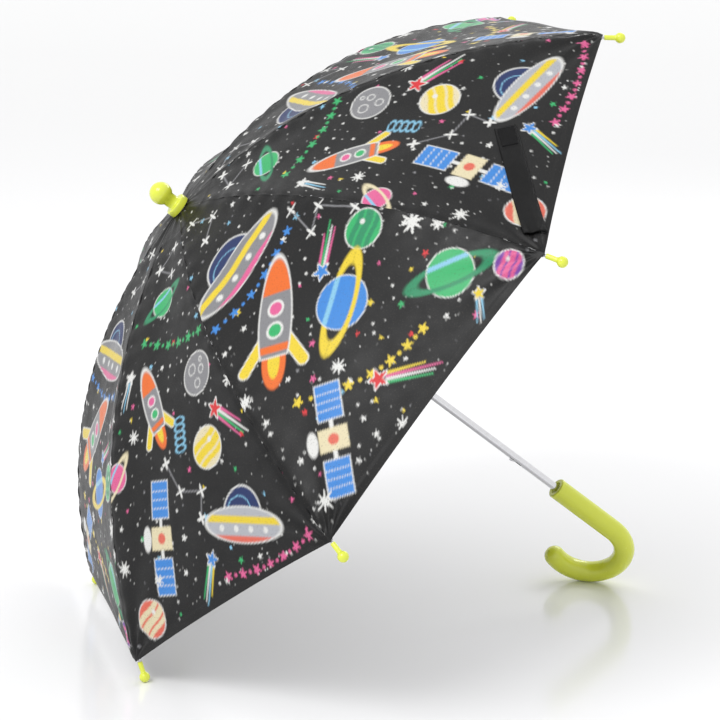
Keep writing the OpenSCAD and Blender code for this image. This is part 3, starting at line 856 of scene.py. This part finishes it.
def makeFinial():
    # a collar on the cloth, a neck and a ball
    base = arcCentre[1] + clothBend * math.cos(clothStart) + finial["aboveCloth"]
    ballAt = umbrella["crownHeight"] + finial["ballUp"]
    c, e, n = finial["collar"], finial["edge"], finial["neck"]
    top = finial["collarHeight"]
    meets = math.degrees(math.asin(n / finial["ball"]))
    ball = quarterArc(ballAt - base, 0, finial["ball"], 180 - meets, 0.3, 40)
    profile = np.concatenate([
        [[0, 0.0], [0, c - 0.0004]],
        quarterArc(0.0004, c - 0.0004, 0.0004, 180, 90, 4),
        quarterArc(top - e, c - e, e, 90, 0, 8),
        [[top, n + 0.0012]],
        quarterArc(top + 0.0012, n + 0.0012, 0.0012, 180, 270, 5),
        ball,
        [[ball[-1][0], 0.0]],
    ])
    piece = makeRevolved("finialKnob", profile, np.array([0, 0, base]), np.array([0, 0, 1.0]))
    piece.data.materials.append(limePlastic)
    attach(piece, "shaft")
    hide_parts("finial")


def makeTip(i):
    # a ball on a short neck, along the rib's slope at its end
    slope = np.array([math.cos(tipAngle), 0, -math.sin(tipAngle)])
    b, n, length = tip["ball"], tip["neck"], tip["length"]
    meets = math.degrees(math.asin(n * 1.15 / b))
    profile = np.concatenate([
        [[-length, 0.0], [-length, n - 0.0003]],
        quarterArc(-length + 0.0003, n - 0.0003, 0.0003, 180, 90, 4),
        [[-b - 0.001, n], [-b * 0.93, n * 1.06]],
        quarterArc(0, 0, b, 180 - meets, 0.4, 28),
        [[b, 0.0]],
    ])
    place = np.array([tipPoint[0], 0, tipPoint[1]])
    spin = ribAngle(i)
    piece = makeRevolved(f"ribTipBall_{i}", profile, turned(place, spin), turned(slope, spin), 48)
    piece.data.materials.append(limePlastic)
    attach(piece, f"rib_outer_{i}")
    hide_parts(f"rib_tip_{i}")


def makeThread(i):
    # a few turns of thread round the rib, where the cloth is sewn to it
    steps, sides = thread["steps"], thread["sides"]
    a = np.linspace(0, thread["turns"] * 2 * math.pi, steps)
    slopeAngle = tipAngle - thread["slopeBack"]
    slope = np.array([math.cos(slopeAngle), 0, -math.sin(slopeAngle)])
    lift = np.array([math.sin(slopeAngle), 0, math.cos(slopeAngle)])
    sideways = np.array([0, 1.0, 0])
    angleAt = clothEnd - thread["fromHem"]
    out = arcCentre[0] + umbrella["ribBend"] * math.sin(angleAt)
    up = arcCentre[1] + umbrella["ribBend"] * math.cos(angleAt)
    ring = np.cos(a)[:, None] * lift + np.sin(a)[:, None] * sideways
    forward = slope * ((a / a[-1] - 0.5) * thread["length"])[:, None]
    path = np.array([out, 0, up]) + forward + ring * thread["ring"]
    b = np.arange(sides) * 2 * math.pi / sides
    section = np.cos(b)[None, :, None] * ring[:, None] + np.sin(b)[None, :, None] * slope
    points = path[:, None] + thread["wire"] * section
    faces = gridFaces(steps, sides, closedColumns=True)
    piece = meshPiece(f"sewnTie_{i}", toRow(turned(points, ribAngle(i))), faces.tolist())
    putUv(piece, points[..., :2])
    finishRound(piece)
    piece.data.materials.append(threadCloth)
    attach(piece, f"rib_outer_{i}")


makeFinial()
for i in ribNumbers:
    makeTip(i)
    makeThread(i)
print("finial, tips and ties made")


# finishes of the pieces that keep their own mesh
def finishNode(name, material):
    node = frame["nodes"][name]
    node.data.materials.clear()
    node.data.materials.append(material)


for i in ribNumbers:
    for kind in ("rib_inner", "rib_outer", "stretcher"):
        finishNode(f"{kind}_{i}", platedSteel)
for name in ("crown_wire", "crown_pin", "runner_wire", "top_catch", "bottom_catch"):
    finishNode(name, platedSteel)
finishNode("shaft", chromeTube)
finishNode("crown", blackPlastic)
finishNode("runner", blackPlastic)
finishNode("rosette", blackPlastic)
print("metal and hub finishes set")


# floor, light and camera
studio = {"floor": 14.0, "floorColour": (0.86, 0.86, 0.87, 1), "floorRoughness": 0.16, "world": 1.0}


def makeFloor():
    corners = np.array([[-1, -1, 0], [1, -1, 0], [1, 1, 0], [-1, 1, 0]]) * studio["floor"]
    floor = meshPiece("studioFloor", corners, [[0, 1, 2, 3]], smooth=False)
    material, nodes, links = newMaterial("whiteGlossFloor")
    shader = nodes["Principled BSDF"]
    shader.inputs["Base Color"].default_value = studio["floorColour"]
    shader.inputs["Roughness"].default_value = studio["floorRoughness"]
    floor.data.materials.append(material)


def makeLight(name, place, target, size, power):
    data = bpy.data.lights.new(name, "AREA")
    data.shape = "RECTANGLE"
    data.size, data.size_y = size
    data.energy = power
    light = bpy.data.objects.new(name, data)
    light.location = place
    light.rotation_euler = (Vector(target) - Vector(place)).to_track_quat("-Z", "Y").to_euler()
    bpy.context.scene.collection.objects.link(light)


def makeWorld():
    world = bpy.data.worlds.new("studioWorld")
    world.use_nodes = True
    world.node_tree.nodes["Background"].inputs["Color"].default_value = (1, 1, 1, 1)
    world.node_tree.nodes["Background"].inputs["Strength"].default_value = studio["world"]
    bpy.context.scene.world = world


def makeCamera():
    # the camera stands off the centre of the tips' circle and looks along its own heading
    lens = {
        "offset": (-0.471, -1.784, 0.356), "heading": 15.33, "down": 11.79, "roll": 0.69,
        "focal": 107.9, "sensor": 36.0,
    }
    data = bpy.data.cameras.new("camera")
    data.lens, data.sensor_width = lens["focal"], lens["sensor"]
    data.clip_start = 0.05
    camera = bpy.data.objects.new("camera", data)
    spin = Matrix.Rotation(-math.radians(lens["heading"]), 4, "Z")
    pitch = Matrix.Rotation(math.radians(90 - lens["down"]), 4, "X")
    roll = Matrix.Rotation(math.radians(lens["roll"]), 4, "Z")
    place = Matrix.Translation(Vector(tipsCentre) + Vector(lens["offset"]))
    camera.matrix_world = place @ spin @ pitch @ roll
    bpy.context.scene.collection.objects.link(camera)
    bpy.context.scene.camera = camera


makeFloor()
makeLight("keySoftbox", (-1.9, -1.3, 2.3), (-0.2, 0, 0.2), (1.4, 1.0), 38)
makeLight("rearStrip", (1.4, 1.5, 1.9), (-0.1, 0, 0.2), (1.6, 0.6), 16)
makeWorld()
makeCamera()
bpy.context.scene.view_settings.view_transform = "Standard"
print("studio made")
